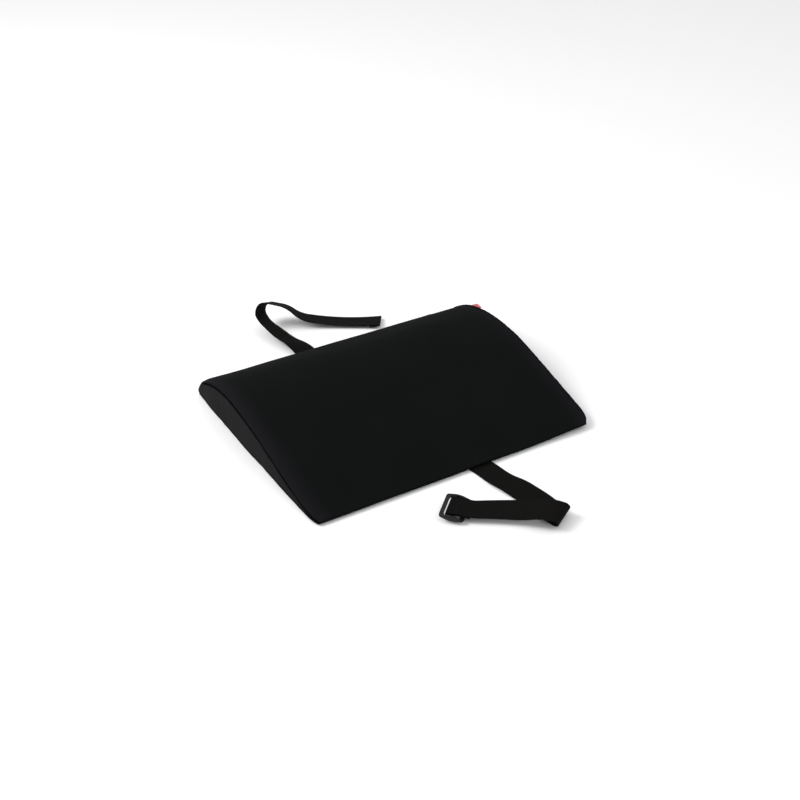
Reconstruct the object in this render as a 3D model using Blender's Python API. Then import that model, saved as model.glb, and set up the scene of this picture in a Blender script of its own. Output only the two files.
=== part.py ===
"""Lumbar support cushion: a foam wedge in a zipped cover, held to a chair by an elastic strap.

The cushion lies on its flat back, which is the plane z = 0. X runs along it, Y from its thin front
edge to its thick rear edge. Metres throughout, and the origin is the middle of the flat back.
"""

import math

import bmesh
import bpy
from mathutils import Matrix, Vector

# Cushion and cover
LENGTH = 0.360
GAP = 0.0003
FABRIC = 0.0015
BACK_FABRIC = 0.0030
GUSSET_INSET = 0.0008
FRONT_EDGE_Y = -0.1500
BACK_PANEL_REAR_Y = 0.1462
FOAM_FRONT_Y = -0.1400
TOP_LINE = [
    (-0.1500, 0.0050),
    (-0.1340, 0.0082),
    (-0.0960, 0.0190),
    (-0.0400, 0.0340),
    (0.0110, 0.0456),
    (0.0600, 0.0490),
    (0.1000, 0.0430),
    (0.1290, 0.0298),
    (0.1440, 0.0150),
    (0.1500, 0.0050),
    (0.1492, 0.0008),
]
TOP_LINE_STEPS = 4

# Zip in the rear slope
ZIP_LENGTH = 0.300
ZIP_HEIGHT = 0.0148
ZIP_OPENING = 0.0080
TAPE_WIDTH = 0.0058
TAPE = 0.0006
TAPE_DEPTH = 0.0021
COIL_WIDTH = 0.0021
COIL = 0.0020
COIL_SPLIT = 0.0014
COIL_DEPTH = 0.0018
ZIP_POCKET_WIDTH = 0.0180
ZIP_POCKET_DEPTH = 0.0070
STOP_LENGTH = 0.0030
SLIDER_LENGTH = 0.0100
SLIDER_WIDTH = 0.0074
SLIDER_PLATE = 0.0009
SLIDER_POST = 0.0008
CROWN_HEIGHT = 0.0026
CROWN_LENGTH = 0.0070
CROWN_WIDTH = 0.0020
PULL_LENGTH = 0.0230
PULL_WIDTH = 0.0056
PULL = 0.0010

# Elastic strap: one length of webbing, sewn to the middle of the back
WEBBING_WIDTH = 0.0290
WEBBING = 0.0013
STRAP_REAR = Vector((-0.0223, 0.1512, 0.00065))
STRAP_FRONT = Vector((0.0234, -0.1508, 0.00065))
# Each row is (length in mm, bend, twist and steer in degrees) of the webbing as it lies.
REAR_ARM = [
    (22, 16, 5, 5),
    (24, -16, 13, 0),
    (24, 12, 2, -1),
    (16, -2, 4, -1),
    (12, 7, 5, -1),
    (12, 15, 7, -1),
    (12, 53, 26, -1),
    (12, 75, 30, -1),
    (14, 2, 1, -1),
    (20, 27, 8, -1),
    (24, -31, 5, -1),
    (92, -17.2, 3, 6.5),
]
FRONT_ARM = [
    (20, 3, 0, -6),
    (20, 2, 0, 10),
    (20, -6, 8, -2),
    (20, 5, 0, -5),
    (20, -5, 1, -5),
    (20, 5, -2, 11),
    (17, 148, 48, -3),
    (24, 37, 2, 4),
    (24, -18, 2, -9),
    (37, -3, 6, -6),
    (10, -9, 0, 14),
]
# The strap's end goes over the inner bar, round the middle bar and back under itself.
BUCKLE_LOOP = [
    (7.3, 0, 0, 0),
    (4.4, 24, 0, 0),
    (4.4, -24, 0, 0),
    (1.3, 0, 0, 0),
    (7.23, 180, 0, 0),
    (1.5, 0, 0, 0),
    (2.0, 38, 0, 0),
    (5.0, 0, 0, 0),
    (2.6, -38, 0, 0),
    (13.3, 0, 0, 0),
]
LOOP_RADIUS = 0.0023
BAR_TO_TAIL_END = 0.0225
HEM = [(2.6, 180, 0, 0), (13.0, 0, 0, 0)]
STEP_LENGTH = 0.012
STEP_ANGLE = math.radians(20)
CHANNEL_WIDTH = 0.0326
CHANNEL_DEPTH = 0.0019

# Slide buckle, in its own frame: bars run along V, the strap along U
BUCKLE_WIDTH = 0.0405
BUCKLE_THICKNESS = 0.0020
RAIL_WIDTH = 0.0032
RAIL_HEIGHT = 0.0060
MIDDLE_BAR = (-0.0015, 0.0015)
OUTER_BAR = (0.0046, 0.00895)
INNER_BAR = (-0.01755, -0.01255)
# The outer slot narrows towards its ends: each row is (from the outer bar, from the middle).
OUTER_SLOT_END = [(0.0, 0.0118), (0.0008, 0.0150), (0.0016, 0.01705)]

SHARP_ANGLE = math.radians(32)

TAB_CORNER = Vector((LENGTH / 2 + GAP, 0.0900, 0.0422))
TAB_SIZE = Vector((0.0080, 0.0095, 0.0012))

FABRIC_BLACK = (0.012, 0.013, 0.014)
GUSSET_BLACK = (0.020, 0.020, 0.021)
WEBBING_BLACK = (0.010, 0.010, 0.011)


def clear_scene():
    """Removes whatever the scene holds."""
    for old in list(bpy.data.objects):
        bpy.data.objects.remove(old, do_unlink=True)


def finish(name, colour, roughness, metallic=0.0):
    """A plain material of that colour."""
    material = bpy.data.materials.new(name)
    material.use_nodes = True
    shader = material.node_tree.nodes["Principled BSDF"]
    shader.inputs["Base Color"].default_value = (*colour, 1.0)
    shader.inputs["Roughness"].default_value = roughness
    shader.inputs["Metallic"].default_value = metallic
    return material


def place(name, bm, material, origin=Vector()):
    """Makes bm the object called name, with its origin at that point."""
    bmesh.ops.recalc_face_normals(bm, faces=bm.faces)
    bmesh.ops.translate(bm, verts=bm.verts, vec=-origin)
    mesh = bpy.data.meshes.new(name)
    bm.to_mesh(mesh)
    bm.free()
    mesh.materials.append(material)
    made = bpy.data.objects.new(name, mesh)
    made.location = origin
    bpy.context.scene.collection.objects.link(made)
    return made


def smooth_line(points, steps):
    """The points joined by a Catmull-Rom curve, with that many steps between two of them."""
    ends = [points[0], *points, points[-1]]
    line = []
    for i in range(len(points) - 1):
        a, b, c, d = (Vector(p) for p in ends[i : i + 4])
        for k in range(steps):
            t = k / steps
            line.append(
                b
                + (c - a) * t / 2
                + (2 * a - 5 * b + 4 * c - d) * t**2 / 2
                + (3 * b - a - 3 * c + d) * t**3 / 2
            )
    line.append(Vector(points[-1]))
    return line


def offset_line(line, distance):
    """The line moved to its left by distance."""
    moved = []
    for i, point in enumerate(line):
        along = line[min(i + 1, len(line) - 1)] - line[max(i - 1, 0)]
        along.normalize()
        moved.append(point + Vector((-along.y, along.x)) * distance)
    return moved


def split_at_height(line, height):
    """The falling part's two halves, above and below that height, and the point and direction there."""
    crest = max(range(len(line)), key=lambda i: line[i].y)
    for i in range(crest, len(line) - 1):
        if line[i + 1].y < height <= line[i].y:
            share = (line[i].y - height) / (line[i].y - line[i + 1].y)
            point = line[i].lerp(line[i + 1], share)
            along = (line[i + 1] - line[i]).normalized()
            return line[: i + 1], line[i + 1 :], point, along
    raise ValueError("the line never falls to that height")


def extrude_outline(outline, x_low, x_high):
    """A bmesh of the outline (points in Y and Z) drawn out along X."""
    bm = bmesh.new()
    face = bm.faces.new([bm.verts.new((x_low, p[0], p[1])) for p in outline])
    drawn = bmesh.ops.extrude_face_region(bm, geom=[face])
    moved = [v for v in drawn["geom"] if isinstance(v, bmesh.types.BMVert)]
    bmesh.ops.translate(bm, verts=moved, vec=(x_high - x_low, 0, 0))
    return bm


def add_box(bm, low, high, frame=Matrix.Identity(4)):
    """Adds a box with those corners, in frame's axes."""
    centre = (Vector(low) + Vector(high)) / 2
    size = Vector(high) - Vector(low)
    shape = frame @ Matrix.Translation(centre) @ Matrix.Diagonal((*size, 1))
    return bmesh.ops.create_cube(bm, size=1, matrix=shape)["verts"]


def cut(target, cutter):
    """Cuts target with cutter, which stays out of the model."""
    cutter.hide_render = True
    cutter.display_type = "WIRE"
    boolean = target.modifiers.new("cut", "BOOLEAN")
    boolean.operation = "DIFFERENCE"
    boolean.solver = "EXACT"
    boolean.object = cutter


def frame_of(origin, x_axis, y_axis, z_axis):
    """The matrix of a frame with those axes."""
    turn = Matrix((x_axis, y_axis, z_axis)).transposed()
    return Matrix.Translation(origin) @ turn.to_4x4()


# Strap ----------------------------------------------------------------------------------------


def lay_webbing(start, along, up, rows):
    """Stations (centre, frame) of webbing laid from start. The frame's columns are along, up, across."""
    frame = Matrix((along, up, along.cross(up))).transposed()
    centre = start.copy()
    stations = [(centre, frame)]
    for length_mm, *turns in rows:
        bend, twist, steer = (math.radians(t) for t in turns)
        turn = Vector((twist, steer, bend))
        length = length_mm / 1000
        steps = max(math.ceil(turn.length / STEP_ANGLE), math.ceil(length / STEP_LENGTH))
        step_turn = Matrix.Rotation(turn.length / steps, 3, turn) if turn.length else Matrix.Identity(3)
        half_turn = Matrix.Rotation(turn.length / steps / 2, 3, turn) if turn.length else Matrix.Identity(3)
        for _ in range(steps):
            centre = centre + (frame @ half_turn).col[0] * (length / steps)
            frame = frame @ step_turn
            stations.append((centre, frame))
    return stations


def sweep(stations, width, thickness):
    """A bmesh of a flat bar through the stations."""
    bm = bmesh.new()
    rings = []
    for centre, frame in stations:
        up = frame.col[1] * thickness / 2
        across = frame.col[2] * width / 2
        corners = (up + across, up - across, -up - across, -up + across)
        rings.append([bm.verts.new(centre + corner) for corner in corners])
    for ring, following in zip(rings, rings[1:]):
        for k in range(4):
            bm.faces.new((ring[k], ring[k - 1], following[k - 1], following[k]))
    bm.faces.new(rings[0])
    bm.faces.new(list(reversed(rings[-1])))
    return bm


def strap_route():
    """Stations of the whole strap, from the hem at its rear end to the tail inside the buckle."""
    rearward = (STRAP_REAR - STRAP_FRONT).normalized()
    up = Vector((0, 0, 1))
    rear = lay_webbing(STRAP_REAR, rearward, up, REAR_ARM + HEM)
    front = lay_webbing(STRAP_FRONT, -rearward, up, FRONT_ARM + BUCKLE_LOOP)
    return rear, front


def strap_webbing(rear, front, material):
    """The strap itself, as one closed body."""
    turned = []
    for centre, frame in reversed(rear):
        turned.append((centre, Matrix((-frame.col[0], frame.col[1], -frame.col[2])).transposed()))
    return place("strap_webbing", sweep(turned + front, WEBBING_WIDTH, WEBBING), material)


# Cover and foam -------------------------------------------------------------------------------


def strap_channel():
    """The shape that leaves room for the strap across the flat back."""
    rearward = (STRAP_REAR - STRAP_FRONT).normalized()
    middle = (STRAP_REAR + STRAP_FRONT) / 2
    middle.z = 0
    frame = frame_of(middle, rearward, Vector((0, 0, 1)).cross(rearward), Vector((0, 0, 1)))
    bm = bmesh.new()
    half = CHANNEL_WIDTH / 2
    add_box(bm, (-0.2, -half, -0.005), (0.2, half, CHANNEL_DEPTH), frame)
    return place("strap_channel", bm, finish("guide", (1, 0, 0), 0.5))


def closed_strip(line, thickness):
    """The outline of a strip with the line as its outer side."""
    return line + list(reversed(offset_line(line, -thickness)))


def cover(line_above, line_below, channel, panel_material, gusset_material):
    """Top panel, back panel, the strip below the zip and the two end gussets."""
    half = LENGTH / 2
    top = place("top_panel", extrude_outline(closed_strip(line_above, FABRIC), -half, half), panel_material)
    back_outline = [
        (FRONT_EDGE_Y, 0.0006),
        (FRONT_EDGE_Y + 0.001, 0),
        (BACK_PANEL_REAR_Y, 0),
        (BACK_PANEL_REAR_Y + 0.0006, 0.0012),
        (BACK_PANEL_REAR_Y + 0.0006, BACK_FABRIC),
        (FRONT_EDGE_Y, BACK_FABRIC),
    ]
    back = place("back_panel", extrude_outline(back_outline, -half, half), panel_material)
    strip_outline = closed_strip(line_below, FABRIC)
    strip = place("lower_zip_strip", extrude_outline(strip_outline, -half, half), panel_material)
    for cut_piece in (back, strip):
        cut(cut_piece, channel)
    inner = offset_line(line_above + line_below, -(FABRIC + GAP))
    inner = [p for p in inner if p.y > BACK_FABRIC + 2 * GAP]
    base = BACK_FABRIC + GAP
    gusset_outline = [Vector((inner[0].x, base)), *inner, Vector((inner[-1].x, base))]
    outer_x = half - GUSSET_INSET
    for side, name in ((-1, "end_gusset_left"), (1, "end_gusset_right")):
        low, high = sorted((side * (outer_x - FABRIC), side * outer_x))
        place(name, extrude_outline(gusset_outline, low, high), gusset_material)
    return top


def foam_core(line, zip_frame, material):
    """The foam wedge, with room cut for the back of the zip."""
    inner = offset_line(line, -(FABRIC + GAP))
    floor = BACK_FABRIC + GAP
    inner = [p for p in inner if p.y > floor + 2 * GAP and p.x > FOAM_FRONT_Y]
    outline = [Vector((inner[0].x, floor)), *inner, Vector((inner[-1].x - 0.0005, floor))]
    half = LENGTH / 2 - GUSSET_INSET - FABRIC - GAP
    core = place("foam_core", extrude_outline(outline, -half, half), material)
    bm = bmesh.new()
    reach = ZIP_LENGTH / 2 + 0.012
    width = ZIP_POCKET_WIDTH / 2
    add_box(bm, (-reach, -width, -ZIP_POCKET_DEPTH), (reach, width, 0.004), zip_frame)
    cut(core, place("zip_pocket", bm, finish("guide", (1, 0, 0), 0.5)))
    return core


# Zip ------------------------------------------------------------------------------------------


def zip_chain(frame, tape_material, coil_material, metal):
    """Tapes, coils and end stops, in the zip's frame: X along it, Y down the slope, Z out of the cover."""
    half = ZIP_LENGTH / 2
    chain_edge = COIL_SPLIT / 2 + COIL_WIDTH
    for side, name in ((-1, "upper"), (1, "lower")):
        low, high = sorted((side * (COIL_SPLIT / 2 + GAP), side * (COIL_SPLIT / 2 + TAPE_WIDTH)))
        bm = bmesh.new()
        add_box(bm, (-half - 0.008, low, -TAPE_DEPTH - TAPE), (half + 0.008, high, -TAPE_DEPTH), frame)
        place(f"zip_tape_{name}", bm, tape_material)
        low, high = sorted((side * COIL_SPLIT / 2, side * chain_edge))
        bm = bmesh.new()
        add_box(bm, (-half, low, -COIL_DEPTH), (half, high, COIL - COIL_DEPTH), frame)
        place(f"zip_coil_{name}", bm, coil_material)
    for end, name in ((-1, "zip_bottom_stop"), (1, "zip_top_stop")):
        low, high = sorted((end * (half + GAP), end * (half + GAP + STOP_LENGTH)))
        bm = bmesh.new()
        add_box(bm, (low, -chain_edge, -COIL_DEPTH), (high, chain_edge, COIL - COIL_DEPTH), frame)
        place(name, bm, metal)


def zip_slider(frame, metal):
    """The slider: two plates round the chain, the post between its rows, and the pull's crown."""
    half_length = SLIDER_LENGTH / 2
    half_width = SLIDER_WIDTH / 2
    upper = COIL - COIL_DEPTH + GAP
    lower = -(TAPE_DEPTH + TAPE + GAP)
    lip = COIL_SPLIT / 2 + COIL_WIDTH + GAP
    boxes = [
        ((-half_length, -half_width, upper), (half_length, half_width, upper + SLIDER_PLATE)),
        ((-half_length, -half_width, lower - SLIDER_PLATE), (half_length, half_width, lower)),
        ((-half_length, -SLIDER_POST / 2, lower - 0.0004), (half_length, SLIDER_POST / 2, upper + 0.0004)),
        ((-half_length, lip, -COIL_DEPTH + 0.0004), (half_length, half_width, upper + 0.0004)),
        ((-half_length, -half_width, -COIL_DEPTH + 0.0004), (half_length, -lip, upper + 0.0004)),
    ]
    top = upper + SLIDER_PLATE
    arch = CROWN_LENGTH / 2
    for end in (-1, 1):
        low, high = sorted((end * arch, end * (arch - 0.0014)))
        boxes.append(((low, -CROWN_WIDTH / 2, top - 0.0004), (high, CROWN_WIDTH / 2, top + CROWN_HEIGHT)))
    boxes.append(
        ((-arch, -CROWN_WIDTH / 2, top + CROWN_HEIGHT - 0.0008), (arch, CROWN_WIDTH / 2, top + CROWN_HEIGHT))
    )
    body = None
    for low, high in boxes:
        bm = bmesh.new()
        add_box(bm, low, high, frame)
        origin = frame.translation.copy()
        if body is None:
            body = place("zip_slider", bm, metal, origin)
            continue
        piece = place("slider_piece", bm, metal, origin)
        piece.hide_render = True
        piece.display_type = "WIRE"
        joined = body.modifiers.new("join", "BOOLEAN")
        joined.operation = "UNION"
        joined.solver = "EXACT"
        joined.object = piece
    return body


def zip_pull(frame, metal):
    """The pull tab: a plate with an eye round the crown and a grip slot, hinged under the crown."""
    top = COIL - COIL_DEPTH + GAP + SLIDER_PLATE
    centre_z = top + (CROWN_HEIGHT - 0.0008) / 2
    hinge_x = CROWN_LENGTH / 2 - 0.0014 - GAP - 0.0006
    origin = frame @ Vector((hinge_x, 0, centre_z))
    eye = CROWN_WIDTH / 2 + GAP
    half = PULL_WIDTH / 2
    outer = [(0.0006, half), (-PULL_LENGTH + 0.0015, half), (-PULL_LENGTH, half - 0.0015)]
    outline = outer + [(x, -y) for x, y in reversed(outer)]
    bm = bmesh.new()
    bottom = [bm.verts.new(Vector((hinge_x + x, y, centre_z - PULL / 2))) for x, y in outline]
    face = bm.faces.new(bottom)
    drawn = bmesh.ops.extrude_face_region(bm, geom=[face])
    raised = [v for v in drawn["geom"] if isinstance(v, bmesh.types.BMVert)]
    bmesh.ops.translate(bm, verts=raised, vec=(0, 0, PULL))
    bmesh.ops.transform(bm, matrix=frame, verts=bm.verts)
    pull = place("zip_pull", bm, metal, origin)
    cuts = bmesh.new()
    back = -CROWN_LENGTH + 0.0014 - 0.0006
    add_box(cuts, (hinge_x - 0.0006 + back, -eye, top - 0.001), (hinge_x - 0.0006, eye, top + 0.004), frame)
    grip_low = hinge_x - PULL_LENGTH + 0.0030
    add_box(cuts, (grip_low, -0.0012, top - 0.001), (grip_low + 0.0085, 0.0012, top + 0.004), frame)
    cut(pull, place("pull_eyes", cuts, metal))
    return pull


# Buckle ---------------------------------------------------------------------------------------


def buckle_frame(front):
    """The frame of the middle bar that the strap's end wraps: X outward, Y along the bar, Z up."""
    centre, turned = front[-1]
    outward = -turned.col[0]
    up = turned.col[1]
    middle = centre + outward * BAR_TO_TAIL_END - up * LOOP_RADIUS
    return frame_of(middle, outward, up.cross(outward), up)


def prism(outline, low, high, frame):
    """The outline in the frame's XY plane, drawn out from low to high."""
    bm = bmesh.new()
    base = bm.faces.new([bm.verts.new((u, v, low)) for u, v in outline])
    drawn = bmesh.ops.extrude_face_region(bm, geom=[base])
    raised = [v for v in drawn["geom"] if isinstance(v, bmesh.types.BMVert)]
    bmesh.ops.translate(bm, verts=raised, vec=(0, 0, high - low))
    bmesh.ops.transform(bm, matrix=frame, verts=bm.verts)
    return bm


def slide_buckle(frame, material):
    """Three bars between two arched rails."""
    half_width = BUCKLE_WIDTH / 2
    inner_width = half_width - RAIL_WIDTH
    half_thick = BUCKLE_THICKNESS / 2
    half_length = (OUTER_BAR[1] - INNER_BAR[0]) / 2
    centre_u = (OUTER_BAR[1] + INNER_BAR[0]) / 2
    outline = []
    corner = 0.004
    for turn in range(4):
        sign_u = (1, -1, -1, 1)[turn]
        sign_v = (1, 1, -1, -1)[turn]
        for k in range(4):
            angle = math.radians(90 * turn + 30 * k)
            outline.append(
                (
                    centre_u + sign_u * (half_length - corner) + corner * math.cos(angle),
                    sign_v * (half_width - corner) + corner * math.sin(angle),
                )
            )
    plate = prism(outline, -half_thick, half_thick, frame)
    buckle = place("slide_buckle", plate, material, frame.translation.copy())
    slot_end = [(OUTER_BAR[0] - inset, v) for inset, v in OUTER_SLOT_END]
    outer = [(u, -v) for u, v in reversed(slot_end)] + slot_end
    outer += [(MIDDLE_BAR[1], inner_width), (MIDDLE_BAR[1], -inner_width)]
    cut(buckle, place("outer_slot", prism(outer, -0.01, 0.01, frame), material))
    inner_slot = bmesh.new()
    add_box(inner_slot, (INNER_BAR[1], -inner_width, -0.01), (MIDDLE_BAR[0], inner_width, 0.01), frame)
    cut(buckle, place("inner_slot", inner_slot, material))
    for side, name in ((-1, "near_rail"), (1, "far_rail")):
        low, high = sorted((side * (inner_width + GAP), side * (half_width - 0.0004)))
        rail = bmesh.new()
        side_line = []
        for k in range(9):
            u = -half_length + 0.003 + (2 * half_length - 0.006) * k / 8
            rise = (RAIL_HEIGHT / 2 - half_thick * 0.8) * (1 - (u / (half_length - 0.003)) ** 2)
            side_line.append((centre_u + u, half_thick * 0.8 + rise))
        line = side_line + [(u, -n) for u, n in reversed(side_line)]
        face = rail.faces.new([rail.verts.new((u, low, n)) for u, n in line])
        grown = bmesh.ops.extrude_face_region(rail, geom=[face])
        moved = [v for v in grown["geom"] if isinstance(v, bmesh.types.BMVert)]
        bmesh.ops.translate(rail, verts=moved, vec=(0, high - low, 0))
        bmesh.ops.transform(rail, matrix=frame, verts=rail.verts)
        piece = place(name, rail, material, frame.translation.copy())
        piece.hide_render = True
        piece.display_type = "WIRE"
        joined = buckle.modifiers.new("join", "BOOLEAN")
        joined.operation = "UNION"
        joined.solver = "EXACT"
        joined.object = piece
    return buckle


def red_tab(material):
    """A small flat tab sewn into the end seam, near the far rear corner."""
    bm = bmesh.new()
    add_box(bm, TAB_CORNER, TAB_CORNER + TAB_SIZE)
    return place("red_tab", bm, material)


def main():
    """Builds every piece."""
    clear_scene()
    panel = finish("cover_fabric", FABRIC_BLACK, 0.9)
    gusset = finish("gusset_fabric", GUSSET_BLACK, 0.9)
    foam = finish("foam", (0.75, 0.70, 0.55), 0.95)
    webbing = finish("webbing", WEBBING_BLACK, 0.8)
    plastic = finish("buckle_plastic", (0.012, 0.012, 0.013), 0.35)
    tape = finish("zip_tape", (0.011, 0.011, 0.012), 0.85)
    coil = finish("zip_coil", (0.015, 0.015, 0.016), 0.4)
    metal = finish("zip_metal", (0.02, 0.02, 0.022), 0.35, 0.8)
    red = finish("tab_fabric", (0.55, 0.02, 0.03), 0.8)

    line = smooth_line(TOP_LINE, TOP_LINE_STEPS)
    rear, front = strap_route()
    channel = strap_channel()
    upper, lower, zip_point, down = split_at_height(line, ZIP_HEIGHT)
    lengthwise = Vector((1, 0, 0))
    down_slope = Vector((0, down.x, down.y))
    zip_centre = Vector((0, zip_point.x, zip_point.y))
    zip_frame = frame_of(zip_centre, lengthwise, down_slope, lengthwise.cross(down_slope))
    half_opening = ZIP_OPENING / 2
    above = [p for p in upper if (p - zip_point).length > half_opening] + [zip_point - down * half_opening]
    below = [zip_point + down * half_opening] + [p for p in lower if (p - zip_point).length > half_opening]
    cover(above, below, channel, panel, gusset)
    foam_core(line, zip_frame, foam)
    zip_chain(zip_frame, tape, coil, metal)
    slider_frame = zip_frame @ Matrix.Translation((ZIP_LENGTH / 2 - SLIDER_LENGTH / 2 - 0.001, 0, 0))
    zip_slider(slider_frame, metal)
    zip_pull(slider_frame, metal)
    strap_webbing(rear, front, webbing)
    slide_buckle(buckle_frame(front), plastic)
    red_tab(red)
    for made in bpy.context.scene.objects:
        if not made.modifiers:
            made.data.shade_smooth()
            made.data.set_sharp_from_angle(angle=SHARP_ANGLE)


main()
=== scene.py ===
"""The looks of a lumbar support cushion: sewn cover, zip, elastic strap and slide buckle.

Metres throughout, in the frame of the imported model. The cushion lies on its flat back, which is the
plane z = 0. X runs along it, and Y from its thin front edge to its thick rear edge.
"""

from __future__ import annotations

import logging
import math
from bisect import bisect_right
from collections.abc import Callable
from dataclasses import dataclass, field
from enum import Enum

import bmesh
import bpy
from mathutils import Matrix, Vector, noise


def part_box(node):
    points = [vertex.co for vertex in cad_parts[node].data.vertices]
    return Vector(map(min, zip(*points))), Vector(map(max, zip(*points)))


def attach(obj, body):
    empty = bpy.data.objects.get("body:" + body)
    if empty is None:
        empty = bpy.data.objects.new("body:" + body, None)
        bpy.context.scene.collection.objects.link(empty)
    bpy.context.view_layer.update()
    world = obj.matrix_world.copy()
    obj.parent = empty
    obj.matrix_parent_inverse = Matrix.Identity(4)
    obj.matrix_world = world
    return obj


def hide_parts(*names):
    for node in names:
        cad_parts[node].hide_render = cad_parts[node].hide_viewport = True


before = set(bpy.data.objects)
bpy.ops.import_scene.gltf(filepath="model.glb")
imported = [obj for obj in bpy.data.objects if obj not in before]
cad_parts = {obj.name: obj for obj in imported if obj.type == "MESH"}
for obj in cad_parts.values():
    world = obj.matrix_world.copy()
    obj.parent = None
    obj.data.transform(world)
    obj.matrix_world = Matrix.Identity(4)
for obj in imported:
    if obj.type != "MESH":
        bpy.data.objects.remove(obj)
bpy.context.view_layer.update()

LOG = logging.getLogger("cushion")
CLOTH_UV = "cloth"
# Point attributes and colours for the painted shade in the end seams' grooves and the painted highlight
# along the band where the top panel rolls over the ends.
SEAM_SHADE_MARK = "seam"
EDGE_HIGHLIGHT_MARK = "pull"
SEAM_SHADE = (0.0005, 0.0005, 0.0007)
EDGE_HIGHLIGHT = (0.0086, 0.0083, 0.0104)
ROOT, SLIDER, PULL, BUCKLE = "root", "slider", "pull", "buckle"
MM = 0.001


# Shading ----------------------------------------------------------------------------------------


@dataclass(frozen=True)
class Varying:
    """A number that changes over a surface. Arithmetic on it adds Math nodes."""

    tree: bpy.types.NodeTree
    socket: bpy.types.NodeSocket

    def math(self, operation: str, *terms: Varying | float) -> Varying:
        """A Math node.

        Args:
            operation: the node's operation.
            terms: its inputs in order.

        Returns:
            The node's result.
        """
        node = self.tree.nodes.new("ShaderNodeMath")
        node.operation = operation
        for socket, term in zip(node.inputs, terms):
            if isinstance(term, Varying):
                self.tree.links.new(term.socket, socket)
            else:
                socket.default_value = term
        return Varying(self.tree, node.outputs[0])

    def __add__(self, other: Varying | float) -> Varying:
        """self + other."""
        return self.math("ADD", self, other)

    def __radd__(self, other: float) -> Varying:
        """other + self."""
        return self.math("ADD", other, self)

    def __sub__(self, other: Varying | float) -> Varying:
        """self - other."""
        return self.math("SUBTRACT", self, other)

    def __rsub__(self, other: float) -> Varying:
        """other - self."""
        return self.math("SUBTRACT", other, self)

    def __mul__(self, other: Varying | float) -> Varying:
        """self * other."""
        return self.math("MULTIPLY", self, other)

    def __rmul__(self, other: float) -> Varying:
        """other * self."""
        return self.math("MULTIPLY", other, self)

    def __pow__(self, other: float) -> Varying:
        """self to that power."""
        return self.math("POWER", self, other)

    def __abs__(self) -> Varying:
        """self without its sign."""
        return self.math("ABSOLUTE", self)

    def sine(self) -> Varying:
        """The sine of self, in radians."""
        return self.math("SINE", self)

    def fraction(self) -> Varying:
        """self less its whole part."""
        return self.math("FRACT", self)

    def whole(self) -> Varying:
        """self's whole part."""
        return self.math("FLOOR", self)

    def between(self, low: float, high: float) -> Varying:
        """self, kept between low and high."""
        return self.math("MINIMUM", self.math("MAXIMUM", self, low), high)


class Palette:
    """A material's nodes, made one by one round its Principled shader."""

    def __init__(self, name: str) -> None:
        """Starts a material of that name."""
        self.material = bpy.data.materials.new(name)
        self.material.use_nodes = True
        self.tree = self.material.node_tree
        self.shader = self.tree.nodes["Principled BSDF"]

    def node(self, kind: str, settings: dict | None = None, sockets: dict | None = None) -> bpy.types.Node:
        """Adds a node.

        Args:
            kind: the node's type.
            settings: its properties, set first.
            sockets: the value of each input, or the socket or number that feeds it.

        Returns:
            The node.
        """
        made = self.tree.nodes.new(kind)
        for key, value in (settings or {}).items():
            setattr(made, key, value)
        for key, value in (sockets or {}).items():
            self.feed(made.inputs[key], value)
        return made

    def feed(self, socket: bpy.types.NodeSocket, value: object) -> None:
        """Links value to the socket, or sets it there if it is a constant."""
        if isinstance(value, Varying):
            self.tree.links.new(value.socket, socket)
        elif isinstance(value, bpy.types.NodeSocket):
            self.tree.links.new(value, socket)
        else:
            socket.default_value = value

    def place(self) -> bpy.types.NodeSocket:
        """The point on the object."""
        return self.node("ShaderNodeTexCoord").outputs["Object"]

    def cloth_place(self) -> tuple[Varying, Varying]:
        """The place on the flat cloth, in metres across and along it."""
        flat = self.node("ShaderNodeUVMap", {"uv_map": CLOTH_UV}).outputs[0]
        parts = self.node("ShaderNodeSeparateXYZ", {}, {0: flat})
        return Varying(self.tree, parts.outputs[0]), Varying(self.tree, parts.outputs[1])

    def cloud(self, scale: float, detail: float = 2.0, roughness: float = 0.5) -> Varying:
        """Soft noise from 0 to 1, with that many features to the metre."""
        sockets = {"Vector": self.place(), "Scale": scale, "Detail": detail, "Roughness": roughness}
        return Varying(self.tree, self.node("ShaderNodeTexNoise", {}, sockets).outputs[0])

    def mark(self, name: str) -> Varying:
        """The attribute of that name, 0 where there is none."""
        return Varying(self.tree, self.node("ShaderNodeAttribute", {"attribute_name": name}).outputs[2])

    def mix(self, share: Varying, low: object, high: object) -> bpy.types.NodeSocket:
        """The colour from low to high as share goes from 0 to 1."""
        ends = [(*end, 1.0) if isinstance(end, tuple) else end for end in (low, high)]
        colours = {0: share, 6: ends[0], 7: ends[1]}
        return self.node("ShaderNodeMix", {"data_type": "RGBA"}, colours).outputs[2]

    def bump(self, height: Varying, depth: float, strength: float = 1.0) -> None:
        """Raises the surface by height times depth."""
        sockets = {"Height": height, "Distance": depth, "Strength": strength}
        self.feed(self.shader.inputs["Normal"], self.node("ShaderNodeBump", {}, sockets).outputs[0])

    def set(self, **constants: float) -> None:
        """Sets the shader's own sockets, with _ for a space in a socket's name."""
        for name, value in constants.items():
            self.shader.inputs[name.replace("_", " ")].default_value = value


class Weave(Enum):
    """How a cloth is made."""

    KNIT = "knit"
    WEBBING = "webbing"
    SPACER = "spacer mesh"
    TAPE = "tape"


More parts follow.
